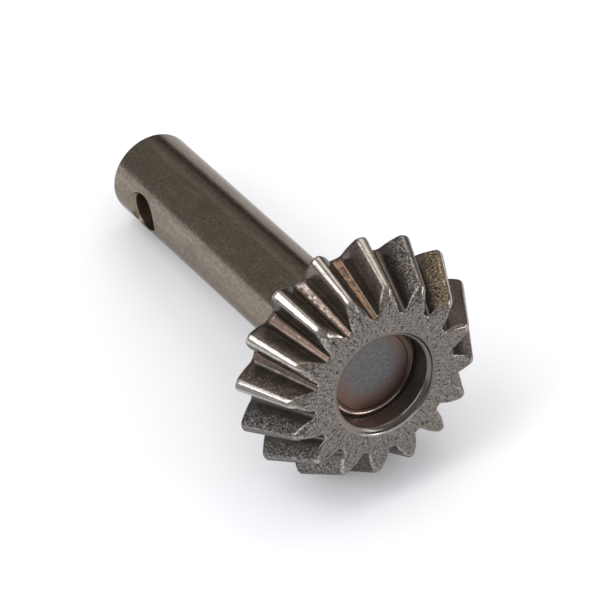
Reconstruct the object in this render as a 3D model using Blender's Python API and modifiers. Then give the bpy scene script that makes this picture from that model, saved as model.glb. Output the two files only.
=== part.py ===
"""Drive gear: a straight bevel pinion brazed on a plain round shaft that has a cross hole.

Units are metres and +Z is up.  The pinion and the shaft are drawn about one axis, with z = 0 on the
pinion's flat front face and +z running back along the shaft.  That axis is then laid down, so that
the part lies on two neighbouring teeth and on the rim of the shaft's far end.
"""
import math

import bmesh
import bpy
from mathutils import Matrix, Vector

# Teeth
TEETH = 16
MATING_TEETH = 32
MODULE = 0.0254 / 12
PRESSURE_ANGLE = math.radians(25)
TOOTH_THICKNESS = 0.0036
ADDENDUM = 0.0021
DEDENDUM = 0.0016
TOE_EXTRA_THICKNESS = 0.0003
TOE_EXTRA_ADDENDUM = 0.0004
TOOTH_REACH = 0.0095
TIP_CORNER_RADIUS = 0.001
ROOT_FILLET_RADIUS = 0.0007
FRONT_EDGE_RADIUS = 0.0003
HEEL_EDGE_RADIUS = 0.0005
LEAST_LAND = 0.00008
MOST_EDGE_PER_CORNER = 0.8

# Pinion body
BACK_FACE_RADIUS = 0.011
RECESS_DIAMETER = 0.0141
RECESS_CHAMFER = 0.001
RECESS_CHAMFER_DEPTH = 0.0006
SHAFT_SET_BACK = 0.0037
RECESS_BELOW_SHAFT = 0.0005
FIT_GAP = 0.0003

# Shaft
SHAFT_DIAMETER = 0.0127
OVERALL_LENGTH = 0.065
SHAFT_CHAMFER = 0.0004
CROSS_HOLE_DIAMETER = 0.0058
CROSS_HOLE_FROM_END = 0.0082
COUNTERSINK_DEPTH = 0.0009

# Smoothness of the curved faces
FILLET_STEPS = 3
FLANK_STEPS = 4
CORNER_STEPS = 3
EDGE_STEPS = 3
ROUND_STEPS = 64
HOLE_STEPS = 32
CUTTER_OVERSHOOT = 0.002

# The pitch cone, which has its apex in front of the pinion
PITCH_RADIUS = TEETH * MODULE / 2
PITCH_ANGLE = math.atan(TEETH / MATING_TEETH)
APEX = Vector((0, 0, TOOTH_REACH - PITCH_RADIUS / math.tan(PITCH_ANGLE)))
CONE_DISTANCE = PITCH_RADIUS / math.sin(PITCH_ANGLE)

# The spur gear that the teeth make when the back cone is rolled out flat
FLAT_PITCH_RADIUS = PITCH_RADIUS / math.cos(PITCH_ANGLE)
FLAT_BASE_RADIUS = FLAT_PITCH_RADIUS * math.cos(PRESSURE_ANGLE)
FLAT_ROOT_RADIUS = FLAT_PITCH_RADIUS - DEDENDUM
HALF_PITCH_ANGLE = math.pi * math.cos(PITCH_ANGLE) / TEETH


def clear_scene():
    for obj in list(bpy.data.objects):
        bpy.data.objects.remove(obj, do_unlink=True)


def collection(name):
    group = bpy.data.collections.new(name)
    bpy.context.scene.collection.children.link(group)
    return group


def material(name, colour, roughness, metallic):
    mat = bpy.data.materials.new(name)
    mat.use_nodes = True
    shader = mat.node_tree.nodes["Principled BSDF"]
    shader.inputs["Base Color"].default_value = (*colour, 1)
    shader.inputs["Roughness"].default_value = roughness
    shader.inputs["Metallic"].default_value = metallic
    return mat


def polar(radius, angle):
    """A point at an angle measured from +X."""
    return Vector((radius * math.cos(angle), radius * math.sin(angle)))


def flank_point(radius, thickness):
    """Point and outward normal on the lower involute of a flattened tooth that is centred on +X."""
    turn = math.acos(FLAT_BASE_RADIUS / radius)
    involute = math.tan(turn) - turn
    involute_at_pitch = math.tan(PRESSURE_ANGLE) - PRESSURE_ANGLE
    angle = involute - involute_at_pitch - thickness / (2 * FLAT_PITCH_RADIUS)
    return polar(radius, angle), polar(1, angle + turn - math.pi / 2)


def touching_arc(thickness, circle_radius, arc_radius, outside):
    """Centre of the arc that touches the flank and a circle, and the flank radius where it does.

    outside is 1 for the bulge inside the tip circle and -1 for the hollow on the root circle.
    """
    low, high = FLAT_ROOT_RADIUS, circle_radius + (1 - outside) * arc_radius
    for _ in range(60):
        radius = (low + high) / 2
        point, normal = flank_point(radius, thickness)
        centre = point - outside * arc_radius * normal
        if centre.length < circle_radius - outside * arc_radius:
            low = radius
        else:
            high = radius
    return centre, radius


def half_land(thickness, circle_radius, arc_radius, outside, middle):
    """Length of the circle that is left between the arc and the middle of the tip or gap."""
    centre = touching_arc(thickness, circle_radius, arc_radius, outside)[0]
    return outside * (middle - math.atan2(centre.y, centre.x)) * circle_radius


def fitting_radius(thickness, circle_radius, arc_radius, outside, middle):
    """The wanted arc radius, or the largest one that still leaves the least land."""
    if half_land(thickness, circle_radius, arc_radius, outside, middle) >= LEAST_LAND / 2:
        return arc_radius
    low, high = 0, arc_radius
    for _ in range(30):
        radius = (low + high) / 2
        if half_land(thickness, circle_radius, radius, outside, middle) >= LEAST_LAND / 2:
            low = radius
        else:
            high = radius
    return low


def tooth_thickness(toe_share):
    return TOOTH_THICKNESS + toe_share * TOE_EXTRA_THICKNESS


def tip_radius(toe_share):
    return FLAT_PITCH_RADIUS + ADDENDUM + toe_share * TOE_EXTRA_ADDENDUM


def tip_corner_radius(toe_share):
    return fitting_radius(tooth_thickness(toe_share), tip_radius(toe_share), TIP_CORNER_RADIUS, 1, 0)


def root_fillet_radius(toe_share):
    return fitting_radius(tooth_thickness(toe_share), FLAT_ROOT_RADIUS, ROOT_FILLET_RADIUS, -1,
                          -HALF_PITCH_ANGLE)


def arc(centre, radius, start, end, steps, outside):
    """Points with normals on an arc; outside is 1 for a bulge of the metal and -1 for a hollow."""
    angles = [start + (end - start) * i / steps for i in range(steps + 1)]
    return [(centre + polar(radius, angle), outside * polar(1, angle)) for angle in angles]


def half_tooth(toe_share):
    """Points with normals from the middle of a gap up to the middle of the next tooth's tip.

    toe_share is 0 for the tooth's form at the heel and 1 for its form at the toe, where the teeth
    are a little thicker and taller than their taper towards the apex alone would leave them.
    """
    thickness = tooth_thickness(toe_share)
    fillet_radius = root_fillet_radius(toe_share)
    corner_radius = tip_corner_radius(toe_share)
    hollow, start_radius = touching_arc(thickness, FLAT_ROOT_RADIUS, fillet_radius, -1)
    bulge, leave_radius = touching_arc(thickness, tip_radius(toe_share), corner_radius, 1)
    start_normal = flank_point(start_radius, thickness)[1]
    leave_normal = flank_point(leave_radius, thickness)[1]
    # The hollow turns the short way, from the root circle up to the flank.
    fillet = arc(hollow, fillet_radius, math.atan2(hollow.y, hollow.x) + math.pi,
                 math.atan2(start_normal.y, start_normal.x) + math.pi, FILLET_STEPS, -1)
    flank = [flank_point(start_radius + (leave_radius - start_radius) * i / FLANK_STEPS, thickness)
             for i in range(1, FLANK_STEPS)]
    corner = arc(bulge, corner_radius, math.atan2(leave_normal.y, leave_normal.x),
                 math.atan2(bulge.y, bulge.x), CORNER_STEPS, 1)
    gap_middle = (polar(FLAT_ROOT_RADIUS, -HALF_PITCH_ANGLE), polar(1, -HALF_PITCH_ANGLE))
    tip_middle = (polar(tip_radius(toe_share), 0), polar(1, 0))
    return [gap_middle] + fillet + flank + corner + [tip_middle]


def tooth_outline(toe_share):
    """One whole pitch, from the middle of a gap to just before the middle of the next gap."""
    lower = half_tooth(toe_share)
    upper = [(Vector((p.x, -p.y)), Vector((n.x, -n.y))) for p, n in reversed(lower[1:-1])]
    return lower + upper


def cone_direction(flat, tooth):
    """Direction from the apex, per unit of its axial length, of a point of the flattened gear."""
    radius = flat.length
    turn = math.atan2(flat.y, flat.x) / math.cos(PITCH_ANGLE)
    # A gap points along +Y, which is down once the part lies at rest.
    angle = math.pi / 2 + (tooth + 0.5) * 2 * math.pi / TEETH + turn
    across = radius * math.cos(PITCH_ANGLE)
    along = TOOTH_REACH - (radius - FLAT_PITCH_RADIUS) * math.sin(PITCH_ANGLE) - APEX.z
    return Vector((across * math.cos(angle), across * math.sin(angle), along))


def outline_ring(toe_share, inset, place):
    """Outline of all the teeth, drawn in by inset and put in space by place(direction)."""
    outline = tooth_outline(toe_share)
    inset = min(inset, MOST_EDGE_PER_CORNER * tip_corner_radius(toe_share))
    return [place(cone_direction(point - inset * normal, tooth))
            for tooth in range(TEETH) for point, normal in outline]


def front_ring(inset, depth):
    scale = (depth - APEX.z) / (TOOTH_REACH - APEX.z)
    return outline_ring(1, inset / scale, lambda ray: APEX + ray * (depth - APEX.z) / ray.z)


def heel_ring(inset, short):
    return outline_ring(0, inset, lambda ray: APEX + ray * (1 - short / CONE_DISTANCE))


def tooth_rings():
    """Outlines from the front face to the back cone, with both ends of the teeth rounded off."""
    turns = [math.pi / 2 * i / EDGE_STEPS for i in range(EDGE_STEPS + 1)]
    front = [front_ring(FRONT_EDGE_RADIUS * (1 - math.sin(t)), FRONT_EDGE_RADIUS * (1 - math.cos(t)))
             for t in turns]
    heel = [heel_ring(HEEL_EDGE_RADIUS * (1 - math.sin(t)), HEEL_EDGE_RADIUS * (1 - math.cos(t)))
            for t in reversed(turns)]
    return front + heel


def back_ring(count):
    """Edge of the flat back face, where the back cone ends."""
    depth = TOOTH_REACH + (PITCH_RADIUS - BACK_FACE_RADIUS) * math.tan(PITCH_ANGLE)
    angles = [math.pi / 2 + 2 * math.pi * i / count for i in range(count)]
    return [Vector((*polar(BACK_FACE_RADIUS, angle), depth)) for angle in angles]


def skinned(name, rings):
    """Closed mesh through rings of equally many points, with a flat face on the first and last."""
    mesh = bpy.data.meshes.new(name)
    bm = bmesh.new()
    layers = [[bm.verts.new(point) for point in ring] for ring in rings]
    for layer, following in zip(layers, layers[1:]):
        for i in range(len(layer)):
            j = (i + 1) % len(layer)
            bm.faces.new((layer[i], layer[j], following[j], following[i]))
    bm.faces.new(list(reversed(layers[0])))
    bm.faces.new(layers[-1])
    bmesh.ops.recalc_face_normals(bm, faces=bm.faces)
    bm.to_mesh(mesh)
    bm.free()
    return mesh


def turned(name, profile, steps, group):
    """Solid of revolution about Z from (radius, z) points that run from high z to low z."""
    mesh = bpy.data.meshes.new(name)
    mesh.from_pydata([(radius, 0, z) for radius, z in profile],
                     [(i, i + 1) for i in range(len(profile) - 1)], [])
    obj = bpy.data.objects.new(name, mesh)
    group.objects.link(obj)
    screw = obj.modifiers.new("turn", "SCREW")
    screw.steps = steps
    screw.render_steps = steps
    screw.use_merge_vertices = True
    screw.merge_threshold = 0.00001
    screw.use_smooth_shade = False
    return obj


def hide_cutter(obj):
    obj.hide_render = True
    obj.display_type = "WIRE"


def cut(obj, cutter):
    boolean = obj.modifiers.new("cut_" + cutter.name, "BOOLEAN")
    boolean.operation = "DIFFERENCE"
    boolean.solver = "EXACT"
    boolean.object = cutter


def add_pinion(group, cutters, finish):
    """The toothed blank, then its stepped bore: a chamfered recess and the seat of the shaft."""
    rings = tooth_rings()
    rings.append(back_ring(len(rings[0])))
    mesh = skinned("bevel_gear", rings)
    mesh.materials.append(finish)
    pinion = bpy.data.objects.new("bevel_gear", mesh)
    group.objects.link(pinion)

    seat = SHAFT_DIAMETER / 2 + FIT_GAP
    recess = RECESS_DIAMETER / 2
    mouth = recess + RECESS_CHAMFER
    floor = SHAFT_SET_BACK + RECESS_BELOW_SHAFT
    far = rings[-1][0].z + CUTTER_OVERSHOOT
    bore = turned("bore_cutter", [
        (0, far), (seat, far), (seat, floor), (recess, floor), (recess, RECESS_CHAMFER_DEPTH),
        (mouth, 0), (mouth, -CUTTER_OVERSHOOT), (0, -CUTTER_OVERSHOOT)], ROUND_STEPS, cutters)
    hide_cutter(bore)
    cut(pinion, bore)
    return pinion, bore


def add_shaft(group, cutters, finish):
    """A plain bar with both ends chamfered and a countersunk hole through it near the far end."""
    radius = SHAFT_DIAMETER / 2
    shaft = turned("shaft", [
        (0, OVERALL_LENGTH), (radius - SHAFT_CHAMFER, OVERALL_LENGTH),
        (radius, OVERALL_LENGTH - SHAFT_CHAMFER), (radius, SHAFT_SET_BACK + SHAFT_CHAMFER),
        (radius - SHAFT_CHAMFER, SHAFT_SET_BACK), (0, SHAFT_SET_BACK)], ROUND_STEPS, group)
    shaft.data.materials.append(finish)

    hole = CROSS_HOLE_DIAMETER / 2
    narrow = radius - COUNTERSINK_DEPTH
    wide = radius + CUTTER_OVERSHOOT
    mouth = hole + wide - narrow
    drill = turned("cross_hole_cutter", [
        (0, wide), (mouth, wide), (hole, narrow), (hole, -narrow), (mouth, -wide), (0, -wide)],
        HOLE_STEPS, cutters)
    drill.location.z = OVERALL_LENGTH - CROSS_HOLE_FROM_END
    drill.rotation_euler.y = math.pi / 2
    hide_cutter(drill)
    cut(shaft, drill)
    return shaft, drill


def lay_down(axis, pinion):
    """Tilts the axis until the teeth and the shaft's far rim touch the floor together."""
    rim = Vector((SHAFT_DIAMETER / 2, OVERALL_LENGTH - SHAFT_CHAMFER))
    tilt = max(math.atan2(vertex.co.y - rim.x, rim.y - vertex.co.z) for vertex in pinion.data.vertices)
    turn = Matrix.Rotation(-math.pi / 2 - tilt, 4, "X")
    corners = [turn @ vertex.co for vertex in pinion.data.vertices]
    corners += [turn @ Vector((0, side * rim.x, rim.y)) for side in (-1, 1)]
    corners += [turn @ Vector((0, side * (rim.x - SHAFT_CHAMFER), OVERALL_LENGTH)) for side in (-1, 1)]
    low = min(corner.z for corner in corners)
    middle = (min(corner.y for corner in corners) + max(corner.y for corner in corners)) / 2
    axis.matrix_world = Matrix.Translation((0, -middle, -low)) @ turn


def build():
    clear_scene()
    group = collection("drive_gear")
    cutters = collection("cutters")
    sintered = material("sintered_steel", (0.25, 0.22, 0.2), 0.45, 1)
    ground = material("ground_steel", (0.32, 0.3, 0.27), 0.35, 1)
    pinion, bore = add_pinion(group, cutters, sintered)
    shaft, drill = add_shaft(group, cutters, ground)

    axis = bpy.data.objects.new("gear_axis", None)
    group.objects.link(axis)
    lay_down(axis, pinion)
    for obj in (pinion, bore, shaft, drill):
        obj.parent = axis
    pinion.data.shade_smooth()
    pinion.data.set_sharp_from_angle(angle=math.radians(35))


build()
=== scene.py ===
"""Looks of the drive gear: a sintered bevel pinion brazed on a ground steel shaft.

Both CAD nodes are replaced by smooth, finely meshed pieces of the same form.  Everything is drawn
about the gear's own axis, with z = 0 on the flat front face and +z running back along the shaft,
and is then laid down as the CAD part lies.
"""
import math

import bmesh
import bpy
import numpy as np
from mathutils import Matrix, Vector, noise


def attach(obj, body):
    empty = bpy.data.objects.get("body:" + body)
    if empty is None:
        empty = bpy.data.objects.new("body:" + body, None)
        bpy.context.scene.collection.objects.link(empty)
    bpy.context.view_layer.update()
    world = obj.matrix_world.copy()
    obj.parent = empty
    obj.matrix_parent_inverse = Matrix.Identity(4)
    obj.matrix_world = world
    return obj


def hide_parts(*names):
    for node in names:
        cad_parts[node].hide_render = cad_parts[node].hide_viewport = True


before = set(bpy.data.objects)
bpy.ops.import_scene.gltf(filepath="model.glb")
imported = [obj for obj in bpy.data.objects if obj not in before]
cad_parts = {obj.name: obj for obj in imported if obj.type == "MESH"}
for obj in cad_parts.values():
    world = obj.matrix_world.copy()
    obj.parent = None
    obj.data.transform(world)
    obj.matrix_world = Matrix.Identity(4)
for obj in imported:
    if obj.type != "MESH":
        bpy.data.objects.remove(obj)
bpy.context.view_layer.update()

# How the part lies: the front face's centre, and the slope of the shaft down to its far end
FRONT_CENTRE = Vector((0, -0.030987021, 0.01965305))
LAY_TILT = math.asin(0.208081275)
LAID = Matrix.Translation(FRONT_CENTRE) @ Matrix.Rotation(-math.pi / 2 - LAY_TILT, 4, "X")

# Teeth, as in the CAD
TEETH = 16
MATING_TEETH = 32
MODULE = 0.0254 / 12
PRESSURE_ANGLE = math.radians(25)
TOOTH_THICKNESS = 0.0036
ADDENDUM = 0.0021
DEDENDUM = 0.0016
TOE_EXTRA_THICKNESS = 0.0003
TOE_EXTRA_ADDENDUM = 0.0004
TOOTH_REACH = 0.0095
TIP_CORNER_RADIUS = 0.001
ROOT_FILLET_RADIUS = 0.0007
FRONT_EDGE_RADIUS = 0.0003
HEEL_EDGE_RADIUS = 0.0005

# Pinion body and shaft, as in the CAD
BACK_FACE_RADIUS = 0.011
RECESS_DIAMETER = 0.0141
RECESS_CHAMFER = 0.001
RECESS_CHAMFER_DEPTH = 0.0006
SHAFT_SET_BACK = 0.0037
RECESS_BELOW_SHAFT = 0.0005
FIT_GAP = 0.0003
SHAFT_DIAMETER = 0.0127
OVERALL_LENGTH = 0.065
SHAFT_CHAMFER = 0.0004
CROSS_HOLE_DIAMETER = 0.0058
CROSS_HOLE_FROM_END = 0.0082
COUNTERSINK_DEPTH = 0.0009

# Fineness of the visual meshes
ROOT_STEPS = 3
FILLET_STEPS = 5
FLANK_STEPS = 11
CORNER_STEPS = 8
TIP_STEPS = 3
EDGE_STEPS = 5
TOOTH_RINGS = 34
FACE_RINGS = 10
CONE_RINGS = 8
BORE_STEPS = 3
ROUNDING_STEPS = 4
BRAZE_SEGMENTS = 256
SHAFT_SEGMENTS = 256
HOLE_SEGMENTS = 128

# Angles between faces above which an edge is drawn sharp
GEAR_SHARP = math.radians(50)
BRAZE_SHARP = math.radians(60)
SHAFT_SHARP = math.radians(25)

# Wear and unevenness, in metres: how deep they go and how long their waves are
UNEVENNESS = 0.00003
UNEVENNESS_WAVES = 0.0016
EDGE_CHIPS = 0.00007
CHIP_WAVES = 0.0004
BRAZE_UNEVENNESS = 0.00002
BRAZE_WAVES = 0.0012
SCORE_DEPTH = 0.00014

# Outline of the copper that fills the seam in the recess, as (radius, z) in millimetres, and the
# part of it that lies open and is uneven
BRAZE_PROFILE = (
    (6.05, 3.72), (6.12, 3.7), (6.25, 3.692), (6.36, 3.67), (6.44, 3.63), (6.51, 3.58),
    (6.57, 3.55), (6.62, 3.55), (6.66, 3.58), (6.68, 3.65), (6.69, 3.9), (6.72, 4.06),
    (6.82, 4.13), (6.95, 4.13), (7.03, 4.08), (7.03, 4.18), (6.66, 4.18), (6.64, 5.2),
    (6.36, 5.2), (6.36, 4.13), (6.11, 3.75))
BRAZE_OPEN = slice(2, 12)

# Metal surface: how metallic the porous gear is, and how deep the fine relief of the finishes is
GEAR_METALLIC = 0.9
PORE_RELIEF = 0.00004
FINE_RELIEF = 0.00001

# Colours of the metals
FLANK_DARK = (0.135, 0.118, 0.104)
FLANK_LIGHT = (0.185, 0.16, 0.136)
STEEL = (0.106, 0.104, 0.107)
GRAIN = (0.365, 0.355, 0.35)
GOLD = (0.58, 0.46, 0.33)
GOLD_BASE = (0.3, 0.228, 0.158)
STAIN = (0.2, 0.1, 0.052)
COPPER_BRIGHT = (0.52, 0.45, 0.43)
COPPER_TAN = (0.41, 0.285, 0.205)
COPPER_DULL = (0.135, 0.096, 0.09)
DARK_COPPER_AND_SHADE = (0.15, 0.1, 0.08)
RECESS = (0.175, 0.165, 0.155)
RECESS_BROWN = (0.31, 0.265, 0.225)
MOUTH_SHADE = (0.15, 0.142, 0.132)
MOUTH_LIGHT = (0.27, 0.235, 0.205)
FACE_LIGHT = (0.282, 0.254, 0.231)
FACE_DARK = (0.155, 0.14, 0.127)
LAND = (0.175, 0.162, 0.156)
GRAZED = (0.5, 0.485, 0.47)
PORE_AND_SHADE = (0.035, 0.03, 0.026)
HEEL_SHADE = (0.075, 0.066, 0.058)
BURNISHED_AND_HIGHLIGHT = (0.55, 0.52, 0.49)
SHAFT_LIGHT = (0.288, 0.249, 0.205)
SHAFT_DARK = (0.178, 0.154, 0.126)
SHAFT_PALE = (0.372, 0.316, 0.252)
SHAFT_GRAZED = (0.65, 0.63, 0.61)
BORED = (0.26, 0.21, 0.16)
SHAFT_END = (0.16, 0.157, 0.16)
SHAFT_END_DARK = (0.12, 0.116, 0.116)
END_COPPER = (0.185, 0.112, 0.088)
END_COPPER_LIGHT = (0.22, 0.15, 0.125)
LIP_HIGHLIGHT = (0.55, 0.42, 0.38)
LIP_DARK = (0.085, 0.06, 0.05)

# How far each tooth's crest is worn round at the toe, in metres, on top of the rounded front edge,
# from the valley that lies lowest round to the left
CREST_WEAR = (0.0002, 0.0002, 0.0003, 0.0007, 0.0008, 0.0009, 0.001, 0.001,
              0.0009, 0.0008, 0.0006, 0.0003, 0.0002, 0.0002, 0.0001, 0.0002)

# How rough, how dull on its crest and how golden each tooth looks, from the same valley round
TOOTH_ROUGH = (0.8, 0.8, 0.8, 0.9, 0.6, 0.15, 0.05, 0.15, 0.3, 0.9, 0.9, 0.3, 0.5, 0.6, 0.5, 0.6)
TOOTH_DULL_CREST = (
    0.6, 0.6, 0.6, 0.6, 1.0, 0.0, 0.0, 0.0, 0.0, 0.0, 0.0, 0.0, 0.3, 0.4, 0.6, 0.6)
TOOTH_GOLD = (0.1, 0.1, 0.0, 0.0, 0.8, 0.4, 0.1, 0.1, 0.2, 0.2, 1.0, 0.4, 0.2, 0.1, 0.2, 0.1)

# How much copper lies in each gap, how tan and how dull it is, from the same valley round
GAP_COPPER = (0.3, 0.2, 0.2, 0.2, 0.3, 0.45, 0.8, 0.95, 1.0, 0.6, 0.45, 0.4, 0.6, 0.8, 0.6, 0.4)
GAP_TAN = (0.5, 0.5, 0.5, 0.5, 0.5, 0.4, 0.1, 0.0, 1.0, 0.8, 0.8, 0.5, 0.3, 0.5, 0.8, 0.5)
GAP_DULL = (0.6, 0.6, 0.6, 0.6, 0.7, 0.8, 0.9, 0.1, 0.1, 0.6, 0.6, 0.6, 0.6, 0.6, 0.6, 0.6)

# Light
DOME = (0.9, 0.91, 0.96)
SURROUNDINGS = (0.335, 0.322, 0.302)
LOW_WALLS = (0.08, 0.073, 0.066)
WALLS_RISE = (0.05, 0.2)
WALLS_SLOPE = -0.2
BACKDROP = (1, 1, 1)

# Softboxes, which all face the object: name, heading from +Y towards +X and elevation in degrees,
# distance, width and height in metres, radiance and colour
SOFTBOXES = (
    ("softbox_left", -92, 38, 0.9, 0.33, 0.5, 2.9, (1, 1, 1)),
    ("softbox_top", -78, 67, 0.9, 0.4, 0.36, 2.7, (1, 1, 1)),
    ("softbox_right", 126, 22, 0.9, 0.62, 0.18, 4.3, (1, 1, 1)),
    ("window_right", 66, 62, 0.9, 0.45, 0.55, 1.05, (1, 0.9, 0.74)))

# Floor
FLOOR_HALF_WIDTH = 3.0
FLOOR_COLOUR = (0.9, 0.9, 0.9)

# Camera
CAMERA_LENS = 353.5776584
CAMERA_SENSOR = 36
CAMERA_CLIP = (0.01, 20)
CAMERA_PLACE = (-0.28885657, -0.49225774, 0.60980537)
CAMERA_AZIMUTH = math.radians(-30.8557)
CAMERA_ELEVATION = math.radians(46.497)
CAMERA_ROLL = math.radians(-0.7174)

# The pitch cone, its apex, and the spur gear that the teeth make when the back cone is rolled out
PITCH_RADIUS = TEETH * MODULE / 2
PITCH_ANGLE = math.atan(TEETH / MATING_TEETH)
APEX = np.array((0, 0, TOOTH_REACH - PITCH_RADIUS / math.tan(PITCH_ANGLE)))
CONE_DISTANCE = PITCH_RADIUS / math.sin(PITCH_ANGLE)
BACK_DEPTH = TOOTH_REACH + (PITCH_RADIUS - BACK_FACE_RADIUS) * math.tan(PITCH_ANGLE)
FLAT_PITCH_RADIUS = PITCH_RADIUS / math.cos(PITCH_ANGLE)
FLAT_BASE_RADIUS = FLAT_PITCH_RADIUS * math.cos(PRESSURE_ANGLE)
FLAT_ROOT_RADIUS = FLAT_PITCH_RADIUS - DEDENDUM
HALF_PITCH_ANGLE = math.pi * math.cos(PITCH_ANGLE) / TEETH
SEAT_RADIUS = SHAFT_DIAMETER / 2 + FIT_GAP


def polar(radius, angle):
    return np.array((radius * math.cos(angle), radius * math.sin(angle)))


def smooth_step(low, high, value):
    t = np.clip((value - low) / (high - low), 0, 1)
    return t * t * (3 - 2 * t)


def flank_point(radius, thickness):
    """Point and outward normal on the lower involute of a flattened tooth that is centred on +X."""
    turn = math.acos(FLAT_BASE_RADIUS / radius)
    involute = math.tan(turn) - turn
    involute_at_pitch = math.tan(PRESSURE_ANGLE) - PRESSURE_ANGLE
    angle = involute - involute_at_pitch - thickness / (2 * FLAT_PITCH_RADIUS)
    return polar(radius, angle), polar(1, angle + turn - math.pi / 2)


def touching_arc(thickness, circle_radius, arc_radius, outside):
    """Centre of the arc that touches the flank and a circle, and the flank radius where it does."""
    low, high = FLAT_ROOT_RADIUS, circle_radius + (1 - outside) * arc_radius
    for _ in range(60):
        radius = (low + high) / 2
        point, normal = flank_point(radius, thickness)
        centre = point - outside * arc_radius * normal
        if np.hypot(*centre) < circle_radius - outside * arc_radius:
            low = radius
        else:
            high = radius
    return centre, radius


def direction(vector):
    return math.atan2(vector[1], vector[0])


def arc(centre, radius, start, end, steps, outside):
    angles = [start + (end - start) * i / steps for i in range(steps + 1)]
    return [(centre + polar(radius, angle), outside * polar(1, angle)) for angle in angles]


def half_tooth(toe_share):
    """Points with normals from the middle of a gap up to the middle of the next tooth's tip."""
    thickness = TOOTH_THICKNESS + toe_share * TOE_EXTRA_THICKNESS
    tip_radius = FLAT_PITCH_RADIUS + ADDENDUM + toe_share * TOE_EXTRA_ADDENDUM
    hollow, start_radius = touching_arc(thickness, FLAT_ROOT_RADIUS, ROOT_FILLET_RADIUS, -1)
    bulge, leave_radius = touching_arc(thickness, tip_radius, TIP_CORNER_RADIUS, 1)
    root = [(polar(FLAT_ROOT_RADIUS, a), polar(1, a))
            for a in np.linspace(-HALF_PITCH_ANGLE, direction(hollow), ROOT_STEPS + 1)[:-1]]
    fillet = arc(hollow, ROOT_FILLET_RADIUS, direction(hollow) + math.pi,
                 direction(flank_point(start_radius, thickness)[1]) + math.pi, FILLET_STEPS, -1)
    flank = [flank_point(r, thickness)
             for r in np.linspace(start_radius, leave_radius, FLANK_STEPS + 1)[1:-1]]
    corner = arc(bulge, TIP_CORNER_RADIUS, direction(flank_point(leave_radius, thickness)[1]),
                 direction(bulge), CORNER_STEPS, 1)
    tip = [(polar(tip_radius, a), polar(1, a))
           for a in np.linspace(direction(bulge), 0, TIP_STEPS + 1)[1:]]
    return root + fillet + flank + corner + tip


def tooth_outline(toe_share):
    """Points and normals of one pitch, from the middle of a gap to just before the next gap."""
    lower = half_tooth(toe_share)
    mirrored = [(p * (1, -1), n * (1, -1)) for p, n in reversed(lower[1:-1])]
    points, normals = zip(*(lower + mirrored))
    return np.array(points), np.array(normals)


def rays(points, normals, inset):
    """Directions from the apex of the flat outline, drawn in by inset, for every tooth in turn."""
    points = np.tile(points, (TEETH, 1)) - np.tile(normals, (TEETH, 1)) * np.reshape(inset, (-1, 1))
    tooth = np.repeat(np.arange(TEETH), len(points) // TEETH)
    radius = np.hypot(points[:, 0], points[:, 1])
    turn = np.arctan2(points[:, 1], points[:, 0]) / math.cos(PITCH_ANGLE)
    across = radius * math.cos(PITCH_ANGLE)
    along = TOOTH_REACH - (radius - FLAT_PITCH_RADIUS) * math.sin(PITCH_ANGLE) - APEX[2]
    angle = math.pi / 2 + (tooth + 0.5) * 2 * math.pi / TEETH + turn
    return np.stack([across * np.cos(angle), across * np.sin(angle), along], 1)


def tooth_heights():
    """How high each outline point of every tooth stands, from 0 in the root to 1 on the crest."""
    points, _ = tooth_outline(1)
    radius = np.hypot(points[:, 0], points[:, 1])
    return np.tile((radius - radius.min()) / np.ptp(radius), TEETH)


def gap_distances():
    """How far round the outline each point is from the nearest gap's middle, in millimetres."""
    points, _ = tooth_outline(0)
    steps = np.hypot(*np.diff(points, axis=0).T)
    half = len(points) // 2
    out = 1000 * np.concatenate([[0], np.cumsum(steps[:half])])
    return np.tile(np.concatenate([out, out[-2:0:-1]]), TEETH)


def toe_edge_radii():
    """Rounding of the front edge: small in the gaps, larger towards the worn crests."""
    heights = tooth_heights()
    wear = np.repeat(CREST_WEAR, len(heights) // TEETH)
    return FRONT_EDGE_RADIUS + wear * smooth_step(0, 1, heights)


def front_ring(turn):
    """Toe outline at one stage of its rounded edge, from the face (0) to the flanks (pi/2)."""
    points, normals = tooth_outline(1)
    radii = toe_edge_radii()
    depth = radii * (1 - math.cos(turn))
    scale = (depth - APEX[2]) / (TOOTH_REACH - APEX[2])
    inset = radii * (1 - math.sin(turn)) / scale
    ray = rays(points, normals, inset)
    return APEX + ray * ((depth - APEX[2]) / ray[:, 2])[:, None]


def heel_ring(inset, short):
    """Heel outline drawn in by inset, on a cone that is short of the back cone by so much."""
    points, normals = tooth_outline(0)
    return APEX + rays(points, normals, inset) * (1 - short / CONE_DISTANCE)


def circle(radius, depth, angles):
    depths = np.full(len(angles), depth)
    return np.stack([radius * np.cos(angles), radius * np.sin(angles), depths], 1)


def blend_rings(first, last, count):
    """Rings between two others, without either of them, going round and out evenly."""
    a0, a1 = (np.unwrap(np.arctan2(r[:, 1], r[:, 0])) for r in (first, last))
    a1 += 2 * math.pi * round((a0[0] - a1[0]) / (2 * math.pi))
    r0, r1 = (np.hypot(r[:, 0], r[:, 1]) for r in (first, last))
    rings = []
    for i in range(1, count + 1):
        t = i / (count + 1)
        angle, radius = a0 + (a1 - a0) * t, r0 + (r1 - r0) * t
        depth = first[:, 2] + (last[:, 2] - first[:, 2]) * t
        rings.append(np.stack([radius * np.cos(angle), radius * np.sin(angle), depth], 1))
    return rings


def rounded_profile(corners, steps):
    """(radius, z) points through corners given as (radius, z, rounding)."""
    profile = []
    for i, (r, z, rounding) in enumerate(corners):
        here = np.array((r, z))
        if rounding == 0 or i in (0, len(corners) - 1):
            profile.append(here)
            continue
        before = np.array(corners[i - 1][:2]) - here
        after = np.array(corners[i + 1][:2]) - here
        start = here + before / np.hypot(*before) * rounding
        end = here + after / np.hypot(*after) * rounding
        for t in np.linspace(0, 1, steps + 1):
            profile.append((1 - t) ** 2 * start + 2 * t * (1 - t) * here + t * t * end)
    return profile


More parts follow.
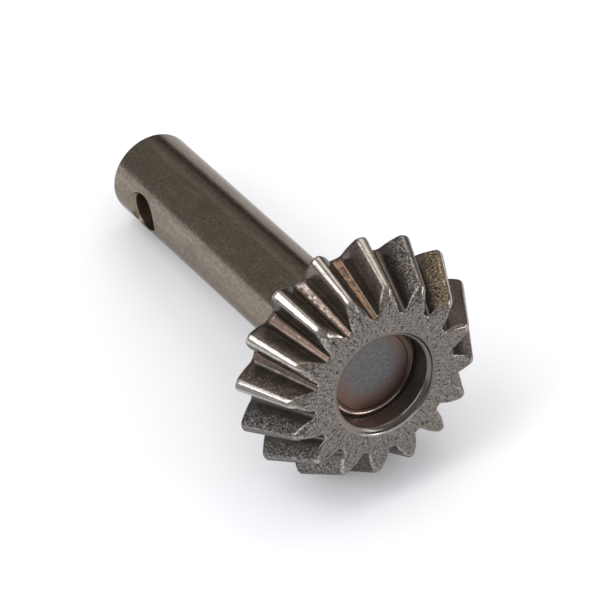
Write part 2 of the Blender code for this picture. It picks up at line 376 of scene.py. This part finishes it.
def ring_mesh(name, rings, closed):
    """Mesh through rings of equally many points; closed joins the last ring to the first."""
    count = len(rings[0])
    points = np.concatenate(rings)
    spans = len(rings) if closed else len(rings) - 1
    j = np.arange(count)
    k = (j + 1) % count
    faces = []
    for i in range(spans):
        a, b = i * count, (i + 1) % len(rings) * count
        faces.append(np.stack([a + j, b + j, b + k, a + k], 1))
    mesh = bpy.data.meshes.new(name)
    mesh.from_pydata(points.tolist(), [], np.concatenate(faces).tolist())
    mesh.update()
    return mesh


def add_object(name, mesh, finish):
    mesh.materials.append(finish)
    obj = bpy.data.objects.new(name, mesh)
    bpy.context.scene.collection.objects.link(obj)
    return obj


def plain_material(name, colour, roughness):
    mat = bpy.data.materials.new(name)
    mat.use_nodes = True
    shader = mat.node_tree.nodes["Principled BSDF"]
    shader.inputs["Base Color"].default_value = (*colour, 1)
    shader.inputs["Roughness"].default_value = roughness
    return mat


class Finish:
    """A metal finish in the making: each call adds one shader node and gives its output."""

    def __init__(self, name):
        self.material = plain_material(name, (0.25, 0.22, 0.2), 0.4)
        self.tree = self.material.node_tree
        self.shader = self.tree.nodes["Principled BSDF"]
        self.shader.inputs["Metallic"].default_value = 1
        self.place = self.attribute("place", "Vector")

    def feed(self, socket, source):
        """Links a node's output to a socket, or sets the socket to a number or colour."""
        if isinstance(source, bpy.types.NodeSocket):
            self.tree.links.new(source, socket)
        elif isinstance(source, tuple) and len(socket.default_value) == 4:
            socket.default_value = (*source, 1)
        else:
            socket.default_value = source

    def node(self, kind, inputs, **settings):
        node = self.tree.nodes.new("ShaderNode" + kind)
        for name, setting in settings.items():
            setattr(node, name, setting)
        for key, source in inputs.items():
            self.feed(node.inputs[key], source)
        return node

    def attribute(self, name, output="Fac"):
        return self.node("Attribute", {}, attribute_name=name).outputs[output]

    def part(self, vector, axis):
        return self.node("SeparateXYZ", {0: vector}).outputs[axis]

    def stretched(self, x, y, z):
        return self.node("CombineXYZ", {0: x, 1: y, 2: z}).outputs[0]

    def noise(self, scale, detail=2.0, vector=None, distortion=0.0):
        inputs = {"Vector": vector or self.place, "Scale": scale, "Detail": detail,
                  "Distortion": distortion}
        return self.node("TexNoise", inputs).outputs[0]

    def math(self, operation, a, b=0.0):
        return self.node("Math", {0: a, 1: b}, operation=operation).outputs[0]

    def radius(self):
        """Distance from the gear's axis, in millimetres."""
        x, y = self.part(self.place, 0), self.part(self.place, 1)
        return self.math("SQRT", self.math("ADD", self.both(x, x), self.both(y, y)))

    def span(self, source, low, high, out_low=0.0, out_high=1.0):
        """Smoothly turns a range of values into another range; beyond it the result stays put."""
        inputs = {0: source, 1: low, 2: high, 3: out_low, 4: out_high}
        return self.node("MapRange", inputs, interpolation_type="SMOOTHSTEP").outputs[0]

    def both(self, a, b):
        return self.math("MULTIPLY", a, b)

    def blend(self, share, a, b):
        mix = self.node("Mix", {}, data_type="RGBA")
        self.feed(mix.inputs["Factor"], share)
        self.feed(next(i for i in mix.inputs if i.identifier == "A_Color"), a)
        self.feed(next(i for i in mix.inputs if i.identifier == "B_Color"), b)
        return next(o for o in mix.outputs if o.identifier == "Result_Color")

    def bump(self, height, distance, normal=None):
        node = self.node("Bump", {"Height": height, "Distance": distance})
        if normal:
            self.feed(node.inputs["Normal"], normal)
        return node.outputs[0]

    def done(self, colour, roughness, normal):
        self.feed(self.shader.inputs["Base Color"], colour)
        self.feed(self.shader.inputs["Roughness"], roughness)
        self.feed(self.shader.inputs["Normal"], normal)
        return self.material


def sintered_finish():
    """Porous pressed face, smooth dark flanks, burnished crests, burnished edges with painted
    glints, copper in the roots.
    """
    f = Finish("sintered_steel")
    front, height, along = f.attribute("front"), f.attribute("height"), f.attribute("along")
    flank, edge, gap = f.attribute("flank"), f.attribute("edge"), f.attribute("gap")
    rough, gold = f.attribute("rough"), f.attribute("gold")
    tooth = f.attribute("tooth")
    lengthwise = f.stretched(f.both(along, 9.5), f.both(height, 4.5), f.both(tooth, 90.0))

    # Smooth flanks, mottled lengthwise
    mottle = f.noise(0.45, 2.0, lengthwise, 0.4)
    colour = f.blend(f.span(mottle, 0.35, 0.68), FLANK_DARK, FLANK_LIGHT)
    roughness = f.span(f.noise(1.6, 3.0), 0.3, 0.7, 0.17, 0.27)

    # Crests polished by the mating gear, or only at their corners where the crest itself is dull
    dull_crest = f.attribute("dull_crest")
    polished = f.math("ADD", height, f.span(dull_crest, 0.7, 1.0, 0.0, 0.1))
    polished = f.math("ADD", polished, f.both(f.noise(1.4, 3.0), 0.06))
    crest = f.both(flank, f.span(polished, 0.97, 1.04))
    colour = f.blend(crest, colour, BURNISHED_AND_HIGHLIGHT)
    roughness = f.math("ADD", roughness, f.both(crest, -0.06))

    # Heel ends, rougher than the flanks and painted darker below the crest as shade
    heel = f.both(f.both(flank, f.span(along, 0.97, 1.0)), f.span(height, 0.95, 0.75))
    colour = f.blend(f.both(heel, 0.85), colour, HEEL_SHADE)
    roughness = f.math("ADD", roughness, f.both(heel, 0.12))

    # The flat of a dull crest; its colour goes on after the coarse teeth's own
    land = f.both(flank, f.both(f.span(height, 0.985, 1.0), f.span(dull_crest, 0.0, 0.6)))
    roughness = f.math("ADD", roughness, f.both(land, 0.2))

    # Coarse teeth, grey or golden, where open pores and bright grains lie side by side
    upper = f.span(f.math("ADD", height, f.noise(0.5, 2.0)), 0.7, 1.15)
    coarse = f.both(rough, f.both(flank, upper))
    coarse = f.both(coarse, f.span(crest, 0.2, 1.0, 1.0, 0.3))
    grey = f.math("MAXIMUM", f.math("SUBTRACT", rough, gold), 0.0)
    colour = f.blend(f.both(grey, 0.8), colour, STEEL)
    colour = f.blend(f.both(coarse, f.both(gold, 0.6)), colour, GOLD_BASE)
    colour = f.blend(f.both(land, 0.85), colour, LAND)
    specks = f.noise(3.6, 3.0)
    colour = f.blend(f.both(coarse, f.span(specks, 0.5, 0.36)), colour, PORE_AND_SHADE)
    grains = f.blend(gold, GRAIN, GOLD)
    colour = f.blend(f.both(coarse, f.span(specks, 0.52, 0.64)), colour, grains)
    roughness = f.math("ADD", roughness, f.both(coarse, 0.1))

    # Copper that crept along the roots, with an orange-brown stain at its edge
    amount = f.attribute("copper")
    ragged = f.both(f.noise(0.55, 2.0, lengthwise), 0.12)
    reach = f.math("ADD", f.span(along, -0.2, 1.2, 0.14, 0.5), ragged)
    beside = f.math("SUBTRACT", gap, f.both(amount, reach))
    stain = f.both(flank, f.both(amount, f.span(beside, 0.36, 0.08)))
    colour = f.blend(f.both(stain, 0.8), colour, STAIN)
    copper = f.both(flank, f.both(f.span(amount, 0.2, 0.5), f.span(beside, 0.1, 0.0)))
    tarnish = f.noise(1.5, 4.0, lengthwise, 0.3)
    bright = f.blend(f.attribute("tan"), COPPER_BRIGHT, COPPER_TAN)
    tarnish = f.math("ADD", tarnish, f.both(f.attribute("dull"), 0.2))
    copper_colour = f.blend(f.span(tarnish, 0.4, 0.64), bright, COPPER_DULL)
    spots = f.both(f.span(f.noise(2.3, 3.0), 0.54, 0.62), 0.85)
    copper_colour = f.blend(spots, copper_colour, DARK_COPPER_AND_SHADE)
    colour = f.blend(copper, colour, copper_colour)
    roughness = f.math("ADD", roughness, f.both(copper, 0.14))

    # Flat front face: pressed powder with open pores
    grain = f.noise(2.6, 5.0)
    wide_pores = f.span(f.noise(2.5, 1.5), 0.395, 0.365)
    pores = f.math("MAXIMUM", wide_pores, f.span(f.noise(4.4, 1.0), 0.41, 0.37))
    face_colour = f.blend(f.span(grain, 0.32, 0.68), FACE_DARK, FACE_LIGHT)
    face_colour = f.blend(f.both(pores, 0.9), face_colour, PORE_AND_SHADE)
    on_face = f.span(front, 0.55, 0.8)
    colour = f.blend(on_face, colour, face_colour)
    roughness = f.blend(on_face, roughness, f.span(grain, 0.3, 0.7, 0.5, 0.38))

    # Turned recess, browner and lighter towards the lower left, and scored inside its mouth at the
    # lower right, where the mouth is painted darker as shade
    inside = f.both(f.span(front, 0.5, 0.0), f.span(flank, 0.5, 0.0))
    depth = f.part(f.place, 2)
    browner_lower_left = f.math("SUBTRACT", f.part(f.place, 1), f.both(f.part(f.place, 0), 0.5))
    browner_lower_left = f.span(f.math("ADD", browner_lower_left, f.noise(0.6, 3.0)), 3.5, 8.0)
    recess_colour = f.blend(browner_lower_left, RECESS, RECESS_BROWN)
    colour = f.blend(f.both(inside, f.span(depth, 9.0, 8.0)), colour, recess_colour)
    mouth = f.both(inside, f.span(depth, 0.62, 0.5))
    scored = f.math("ADD", f.both(f.part(f.place, 0), 0.8), f.both(f.part(f.place, 1), 0.5))
    scored = f.span(scored, -2.6, 1.9)
    # Painted shade: the mouth's chamfer is darker on the scored side, light brown elsewhere
    colour = f.blend(mouth, colour, f.blend(scored, MOUTH_LIGHT, MOUTH_SHADE))
    matt = f.math("SUBTRACT", 0.25, f.both(scored, 0.25))
    roughness = f.math("ADD", roughness, f.both(mouth, matt))
    # Painted shade in the groove inside the mouth, in patches on the scored side
    groove_shade = f.both(f.span(f.radius(), 7.6, 7.66), f.span(f.radius(), 7.84, 7.78))
    patchy = f.both(scored, f.span(f.noise(0.2, 2.0), 0.3, 0.6, 0.3, 0.75))
    colour = f.blend(f.both(f.both(mouth, groove_shade), patchy), colour, PORE_AND_SHADE)
    # Painted highlight on the outer rim of the mouth along its lowest side
    lowest = f.span(f.part(f.place, 1), 6.0, 7.2)
    rim = f.both(f.both(inside, f.span(f.radius(), 7.82, 7.9)), lowest)
    colour = f.blend(rim, colour, BURNISHED_AND_HIGHLIGHT)
    roughness = f.math("SUBTRACT", roughness, f.both(rim, 0.06))

    # Broken, burnished edge between the face and the flanks, with painted glints on it
    glint = f.both(edge, f.span(f.noise(2.7, 2.0), 0.42, 0.6))
    colour = f.blend(f.both(glint, 0.6), colour, BURNISHED_AND_HIGHLIGHT)

    relief = f.math("ADD", f.both(f.noise(2.5, 2.0), f.math("MAXIMUM", on_face, coarse)),
                    f.both(f.noise(2.2, 3.0), 0.25))
    f.feed(f.shader.inputs["Metallic"], GEAR_METALLIC)
    f.feed(f.shader.inputs["Specular Tint"], GRAZED)
    return f.done(colour, roughness, f.bump(relief, PORE_RELIEF))


def braze_finish():
    """Dull red-brown copper that stands up round the edge of the shaft's end, with painted shade
    deep in the seam and a painted highlight low on its lip.
    """
    f = Finish("copper_braze")
    patches = f.noise(0.9, 4.0, None, 0.4)
    colour = f.blend(f.span(patches, 0.35, 0.65), END_COPPER, END_COPPER_LIGHT)
    # Painted shade: darker copper deep in the seam between the lip and the recess wall
    colour = f.blend(f.span(f.part(f.place, 2), 3.98, 4.1), colour, DARK_COPPER_AND_SHADE)
    above = f.span(f.part(f.place, 2), 3.75, 3.7)
    colour = f.blend(f.both(f.both(above, 0.85), f.span(f.radius(), 6.05, 6.25)), colour, LIP_DARK)
    # Painted highlight: the lip's lower side is bright copper
    below = f.math("SUBTRACT", f.both(f.part(f.place, 1), 0.9), f.both(f.part(f.place, 0), 0.3))
    crescent_highlight = f.both(f.span(f.math("ADD", below, f.noise(0.8, 3.0)), 3.4, 5.2), above)
    crescent_highlight = f.both(crescent_highlight, f.span(f.radius(), 6.3, 6.44))
    colour = f.blend(crescent_highlight, colour, LIP_HIGHLIGHT)
    roughness = f.span(f.noise(1.8, 3.0), 0.3, 0.7, 0.42, 0.5)
    roughness = f.math("SUBTRACT", roughness, f.both(crescent_highlight, 0.2))
    return f.done(colour, roughness, f.bump(f.noise(2.8, 4.0), FINE_RELIEF))


def ground_finish():
    """Satin ground bar with a fine mottle; copper has run over the end inside the recess."""
    f = Finish("ground_steel")
    x, y, depth = (f.part(f.place, axis) for axis in range(3))
    grain = f.noise(2.6, 4.0)
    cloud = f.noise(0.35, 3.0, None, 0.3)
    lengthwise = f.stretched(f.both(x, 2.2), f.both(y, 2.2), f.both(depth, 0.22))
    colour = f.blend(f.span(grain, 0.3, 0.7), SHAFT_DARK, SHAFT_LIGHT)
    colour = f.blend(f.both(f.span(cloud, 0.45, 0.7), 0.4), colour, SHAFT_DARK)
    streaks = f.span(f.noise(0.6, 3.0, lengthwise), 0.55, 0.68)
    colour = f.blend(f.both(streaks, 0.35), colour, SHAFT_PALE)
    # A faint lighter line along the top of the bar
    off_line = f.math("ABSOLUTE", f.math("ADD", x, f.both(f.noise(0.25, 2.0), 0.5)))
    line = f.both(f.span(off_line, 0.7, 0.2), f.span(y, 0.0, -1.0))
    colour = f.blend(f.both(line, 0.4), colour, SHAFT_PALE)
    end = f.span(depth, 4.3, 4.1)
    slant = f.math("ADD", f.both(x, -0.04), f.both(y, 0.18))
    run = f.math("ADD", f.radius(), f.math("ADD", slant, f.both(f.noise(0.45, 3.0), 3.0)))
    end_colour = f.blend(f.span(f.noise(1.9, 5.0), 0.3, 0.7), SHAFT_END, SHAFT_END_DARK)
    end_colour = f.blend(f.both(f.span(run, 4.4, 7.6), 0.9), end_colour, END_COPPER)
    colour = f.blend(end, colour, end_colour)
    roughness = f.math("ADD", f.span(f.noise(2.1, 3.0), 0.3, 0.7, 0.15, 0.23), f.both(end, 0.25))
    bored = f.span(f.radius(), 6.2, 5.9)
    bored = f.both(bored, f.span(depth, 50.0, 51.0))
    bored = f.both(bored, f.span(depth, 64.9, 64.7))
    colour = f.blend(bored, colour, BORED)
    roughness = f.math("ADD", roughness, f.both(bored, 0.2))
    f.feed(f.shader.inputs["Specular Tint"], SHAFT_GRAZED)
    return f.done(colour, roughness, f.bump(f.noise(3.4, 4.0), FINE_RELIEF))


def bore_profile(score_depth):
    """(radius, z) points of the seat, the recess and its chamfer, scored just inside its rim."""
    recess = RECESS_DIAMETER / 2
    mouth = recess + RECESS_CHAMFER
    floor = SHAFT_SET_BACK + RECESS_BELOW_SHAFT
    return rounded_profile([
        (SEAT_RADIUS, BACK_DEPTH - 0.0002, 0), (SEAT_RADIUS, floor, 0.0001),
        (recess, floor, 0.0002), (recess, RECESS_CHAMFER_DEPTH, 0.0004),
        (mouth - 0.00044, 0.00024, 0.00003),
        (mouth - 0.00034, 0.0002 + score_depth, 0.00004), (mouth - 0.0002, 0.0001, 0.00003),
        (mouth, 0, 0.00006), (mouth + 0.0001, 0, 0)], BORE_STEPS)


def gear_rings():
    """All rings of the gear, from the seat's back edge forward, out over the teeth and back.

    Each ring comes with its zone: how much it belongs to the front face, how far along the teeth it
    is from the toe (0) to the heel (1), how much it belongs to the teeth, and how burnished it is
    and painted with glints.
    """
    toe = front_ring(0)
    count = len(toe)
    even = math.pi / 2 + 2 * math.pi * np.arange(count) / count
    start = np.arctan2(toe[0, 1], toe[0, 0])
    even += start - even[0]

    scored = smooth_step(-0.35, 0.25, 0.8 * np.cos(even) + 0.5 * np.sin(even))[:, None]
    rings = [circle(*plain, even) * (1 - scored) + circle(*deep, even) * scored
             for plain, deep in zip(bore_profile(0), bore_profile(SCORE_DEPTH))]
    zones = [(0, 0, 0, 0)] * (len(rings) - 1) + [(1, 0, 0, 0)]
    face = blend_rings(rings[-1], toe, FACE_RINGS)
    rings += face
    zones += [(1, 0, 0, 0)] * len(face)

    turns = np.linspace(0, math.pi / 2, EDGE_STEPS + 1)
    front = [front_ring(t) for t in turns]
    heel = [heel_ring(HEEL_EDGE_RADIUS * (1 - math.sin(t)), HEEL_EDGE_RADIUS * (1 - math.cos(t)))
            for t in turns[::-1]]
    steps = np.arange(1, TOOTH_RINGS + 1) / (TOOTH_RINGS + 1)
    flank = [front[-1] + (heel[0] - front[-1]) * t for t in steps]
    rings += front + flank + heel
    zones += [(max(0, 1 - 2.5 * t / turns[-1]), 0, t / turns[-1], math.sin(2 * t)) for t in turns]
    zones += [(0, t, 1, 0) for t in steps]
    zones += [(0, 1, 1, 0)] * len(heel)

    edge = circle(BACK_FACE_RADIUS, BACK_DEPTH, even)
    cone = blend_rings(heel[-1], edge, CONE_RINGS)
    back = rounded_profile([
        (BACK_FACE_RADIUS + 0.0003, BACK_DEPTH - 0.00015, 0),
        (BACK_FACE_RADIUS, BACK_DEPTH, 0.0002), (SEAT_RADIUS + 0.0004, BACK_DEPTH, 0),
        (SEAT_RADIUS + 0.0002, BACK_DEPTH, 0)], ROUNDING_STEPS)
    rings += cone + [circle(r, z, even) for r, z in back[1:]]
    zones += [(0.6, 1, 0, 0)] * (len(rings) - len(zones))
    return rings, np.array(zones)


def add_values(mesh, name, values):
    """Stores one number per vertex under a name that the materials read."""
    layer = mesh.attributes.new(name, "FLOAT", "POINT")
    layer.data.foreach_set("value", np.asarray(values, dtype=np.float32).ravel())


def add_places(mesh):
    """Stores each vertex's place about the gear's own axis, in millimetres."""
    points = np.empty(len(mesh.vertices) * 3)
    mesh.vertices.foreach_get("co", points)
    layer = mesh.attributes.new("place", "FLOAT_VECTOR", "POINT")
    layer.data.foreach_set("vector", (points * 1000).astype(np.float32))


def wavy(points, scale, seed):
    """Smooth noise between about -1 and 1 at points in metres, with waves scale metres long."""
    return np.array([noise.noise(Vector(point) / scale + Vector((seed, 0, 0))) for point in points])


def ring_normals(points, count):
    """Unit normals of a closed mesh of rings, from the spans along and around it."""
    grid = points.reshape(-1, count, 3)
    along = np.roll(grid, -1, 0) - np.roll(grid, 1, 0)
    around = np.roll(grid, -1, 1) - np.roll(grid, 1, 1)
    normals = np.cross(around, along).reshape(-1, 3)
    return normals / np.maximum(np.linalg.norm(normals, axis=1, keepdims=True), 1e-12)


def worn(rings, zones):
    """Rings with the small unevenness of a pressed surface on the teeth and chips on their edge."""
    count = len(rings[0])
    points = np.concatenate(rings)
    on_teeth = np.repeat(zones[:, 2], count)
    edge = np.repeat(zones[:, 3], count) * on_teeth
    shift = UNEVENNESS * wavy(points, UNEVENNESS_WAVES, seed=3.0)
    shift = shift + EDGE_CHIPS * edge * wavy(points, CHIP_WAVES, seed=9.0)
    points = points - ring_normals(points, count) * (on_teeth * np.abs(shift))[:, None]
    return list(points.reshape(-1, count, 3))


def lay_down(mesh, sharp_angle):
    """Shades a mesh smooth but for its sharp edges, and lays it down as the CAD part lies."""
    mesh.shade_smooth()
    mesh.set_sharp_from_angle(angle=sharp_angle)
    mesh.transform(LAID)


def close_ends(mesh):
    """Fills the open ends of a tube and turns its faces outwards."""
    bm = bmesh.new()
    bm.from_mesh(mesh)
    bmesh.ops.holes_fill(bm, edges=[e for e in bm.edges if e.is_boundary])
    bmesh.ops.recalc_face_normals(bm, faces=bm.faces)
    bm.to_mesh(mesh)
    bm.free()


def add_gear(finish):
    rings, zones = gear_rings()
    mesh = ring_mesh("gear_body", worn(rings, zones), True)
    heights = tooth_heights()
    points_per_tooth = len(heights) // TEETH
    per_tooth = {"tooth": np.random.default_rng(7).random(TEETH), "rough": TOOTH_ROUGH,
                 "gold": TOOTH_GOLD, "dull_crest": TOOTH_DULL_CREST}
    gap_index = (np.arange(len(heights)) + points_per_tooth // 2) // points_per_tooth % TEETH
    for column, name in enumerate(("front", "along", "flank", "edge")):
        add_values(mesh, name, np.repeat(zones[:, column], len(heights)))
    add_values(mesh, "height", np.tile(heights, len(rings)))
    add_values(mesh, "gap", np.tile(gap_distances(), len(rings)))
    for name, values in (("copper", GAP_COPPER), ("tan", GAP_TAN), ("dull", GAP_DULL)):
        add_values(mesh, name, np.tile(np.array(values)[gap_index], len(rings)))
    for name, values in per_tooth.items():
        add_values(mesh, name, np.tile(np.repeat(values, points_per_tooth), len(rings)))
    add_places(mesh)
    gear = add_object("gear_body", mesh, finish)
    lay_down(mesh, GEAR_SHARP)
    return gear


def add_braze(finish):
    """The copper that joins the shaft to the gear: a low uneven ring in the recess."""
    angles = 2 * math.pi * np.arange(BRAZE_SEGMENTS) / BRAZE_SEGMENTS
    rings = [circle(r / 1000, z / 1000, angles) for r, z in BRAZE_PROFILE]
    for ring in rings[BRAZE_OPEN]:
        ring[:, 2] += BRAZE_UNEVENNESS * wavy(ring, BRAZE_WAVES, seed=5.0)
    mesh = ring_mesh("braze_ring", rings, True)
    add_places(mesh)
    braze = add_object("braze_ring", mesh, finish)
    lay_down(mesh, BRAZE_SHARP)
    return braze


def add_shaft(finish):
    """The bar with its chamfered ends, cut by a drill that also makes both countersinks."""
    radius = SHAFT_DIAMETER / 2
    profile = rounded_profile([
        (0.0004, SHAFT_SET_BACK, 0), (radius - SHAFT_CHAMFER, SHAFT_SET_BACK, 0.00012),
        (radius, SHAFT_SET_BACK + SHAFT_CHAMFER, 0.00012),
        (radius, OVERALL_LENGTH - SHAFT_CHAMFER, 0.00012),
        (radius - SHAFT_CHAMFER, OVERALL_LENGTH, 0.00012), (0.0004, OVERALL_LENGTH, 0)],
        ROUNDING_STEPS)
    angles = 2 * math.pi * np.arange(SHAFT_SEGMENTS) / SHAFT_SEGMENTS
    mesh = ring_mesh("shaft_bar", [circle(r, z, angles) for r, z in profile], False)
    close_ends(mesh)
    bar = add_object("shaft_bar", mesh, finish)

    hole = CROSS_HOLE_DIAMETER / 2
    narrow = radius - COUNTERSINK_DEPTH
    wide = radius + 0.002
    mouth = hole + wide - narrow
    angles = 2 * math.pi * np.arange(HOLE_SEGMENTS) / HOLE_SEGMENTS
    drill_profile = [(mouth, -wide), (hole, -narrow), (hole, narrow), (mouth, wide)]
    drill_mesh = ring_mesh("drill", [circle(r, z, angles) for r, z in drill_profile], False)
    close_ends(drill_mesh)
    drill = bpy.data.objects.new("drill", drill_mesh)
    bpy.context.scene.collection.objects.link(drill)
    drill.location.z = OVERALL_LENGTH - CROSS_HOLE_FROM_END
    drill.rotation_euler.y = math.pi / 2
    boolean = bar.modifiers.new("cross_hole", "BOOLEAN")
    boolean.operation = "DIFFERENCE"
    boolean.solver = "EXACT"
    boolean.object = drill
    bpy.context.view_layer.update()
    evaluated = bar.evaluated_get(bpy.context.evaluated_depsgraph_get())
    cut = bpy.data.meshes.new_from_object(evaluated)
    bar.modifiers.clear()
    bar.data = cut
    add_places(cut)
    bpy.data.objects.remove(drill, do_unlink=True)
    lay_down(cut, SHAFT_SHARP)
    return bar


def add_floor():
    mesh = bpy.data.meshes.new("floor")
    half = FLOOR_HALF_WIDTH
    corners = [(-half, -half, 0), (half, -half, 0), (half, half, 0), (-half, half, 0)]
    mesh.from_pydata(corners, [], [(0, 1, 2, 3)])
    finish = plain_material("floor", FLOOR_COLOUR, 1)
    floor = add_object("floor", mesh, finish)


def add_world():
    """A white room for the floor; polished metal sees it dim, as the photo's surroundings are."""
    world = bpy.data.worlds.new("studio")
    world.use_nodes = True
    tree = world.node_tree
    path = tree.nodes.new("ShaderNodeLightPath")
    height = tree.nodes.new("ShaderNodeVectorMath")
    height.operation = "DOT_PRODUCT"
    height.inputs[1].default_value = (WALLS_SLOPE, 0, 1)
    tree.links.new(tree.nodes.new("ShaderNodeTexCoord").outputs["Generated"], height.inputs[0])
    rise = tree.nodes.new("ShaderNodeMapRange")
    rise.interpolation_type = "SMOOTHSTEP"
    rise.inputs["From Min"].default_value = WALLS_RISE[0]
    rise.inputs["From Max"].default_value = WALLS_RISE[1]
    tree.links.new(height.outputs["Value"], rise.inputs["Value"])

    def mixed(share, first, second):
        mix = tree.nodes.new("ShaderNodeMix")
        mix.data_type = "RGBA"
        tree.links.new(share, mix.inputs["Factor"])
        for letter, tone in (("A", first), ("B", second)):
            socket = next(i for i in mix.inputs if i.identifier == letter + "_Color")
            if isinstance(tone, tuple):
                socket.default_value = (*tone, 1)
            else:
                tree.links.new(tone, socket)
        return next(o for o in mix.outputs if o.identifier == "Result_Color")

    dim = mixed(rise.outputs[0], LOW_WALLS, SURROUNDINGS)
    colour = mixed(path.outputs["Is Glossy Ray"], DOME, dim)
    colour = mixed(path.outputs["Is Camera Ray"], colour, BACKDROP)
    tree.links.new(colour, tree.nodes["Background"].inputs["Color"])
    world.cycles.sampling_method = "NONE"
    bpy.context.scene.world = world


def add_camera():
    """The photo's view, found by fitting a camera to the outlines: a long lens, slightly rolled."""
    data = bpy.data.cameras.new("camera")
    data.lens = CAMERA_LENS
    data.sensor_width = CAMERA_SENSOR
    data.clip_start, data.clip_end = CAMERA_CLIP
    camera = bpy.data.objects.new("camera", data)
    bpy.context.scene.collection.objects.link(camera)
    turn = Matrix.Rotation(CAMERA_AZIMUTH, 4, "Z")
    turn = turn @ Matrix.Rotation(math.pi / 2 - CAMERA_ELEVATION, 4, "X")
    turn = turn @ Matrix.Rotation(CAMERA_ROLL, 4, "Z")
    camera.matrix_world = Matrix.Translation(CAMERA_PLACE) @ turn
    bpy.context.scene.camera = camera


def add_softbox(name, heading, elevation, distance, width, height, radiance, colour):
    heading, elevation = math.radians(heading), math.radians(elevation)
    towards = Vector((math.sin(heading) * math.cos(elevation),
                      math.cos(heading) * math.cos(elevation), math.sin(elevation)))
    data = bpy.data.lights.new(name, "AREA")
    data.shape = "RECTANGLE"
    data.size = width
    data.size_y = height
    data.energy = radiance * math.pi * width * height
    data.color = colour
    lamp = bpy.data.objects.new(name, data)
    bpy.context.scene.collection.objects.link(lamp)
    lamp.location = towards * distance
    lamp.rotation_euler = towards.to_track_quat("Z", "Y").to_euler()


gear = add_gear(sintered_finish())
shaft = add_shaft(ground_finish())
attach(gear, "root")
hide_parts("bevel_gear")
braze = add_braze(braze_finish())
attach(braze, "root")
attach(shaft, "root")
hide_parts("shaft")

add_floor()
add_camera()
for softbox in SOFTBOXES:
    add_softbox(*softbox)
add_world()
bpy.context.scene.view_settings.view_transform = "Standard"
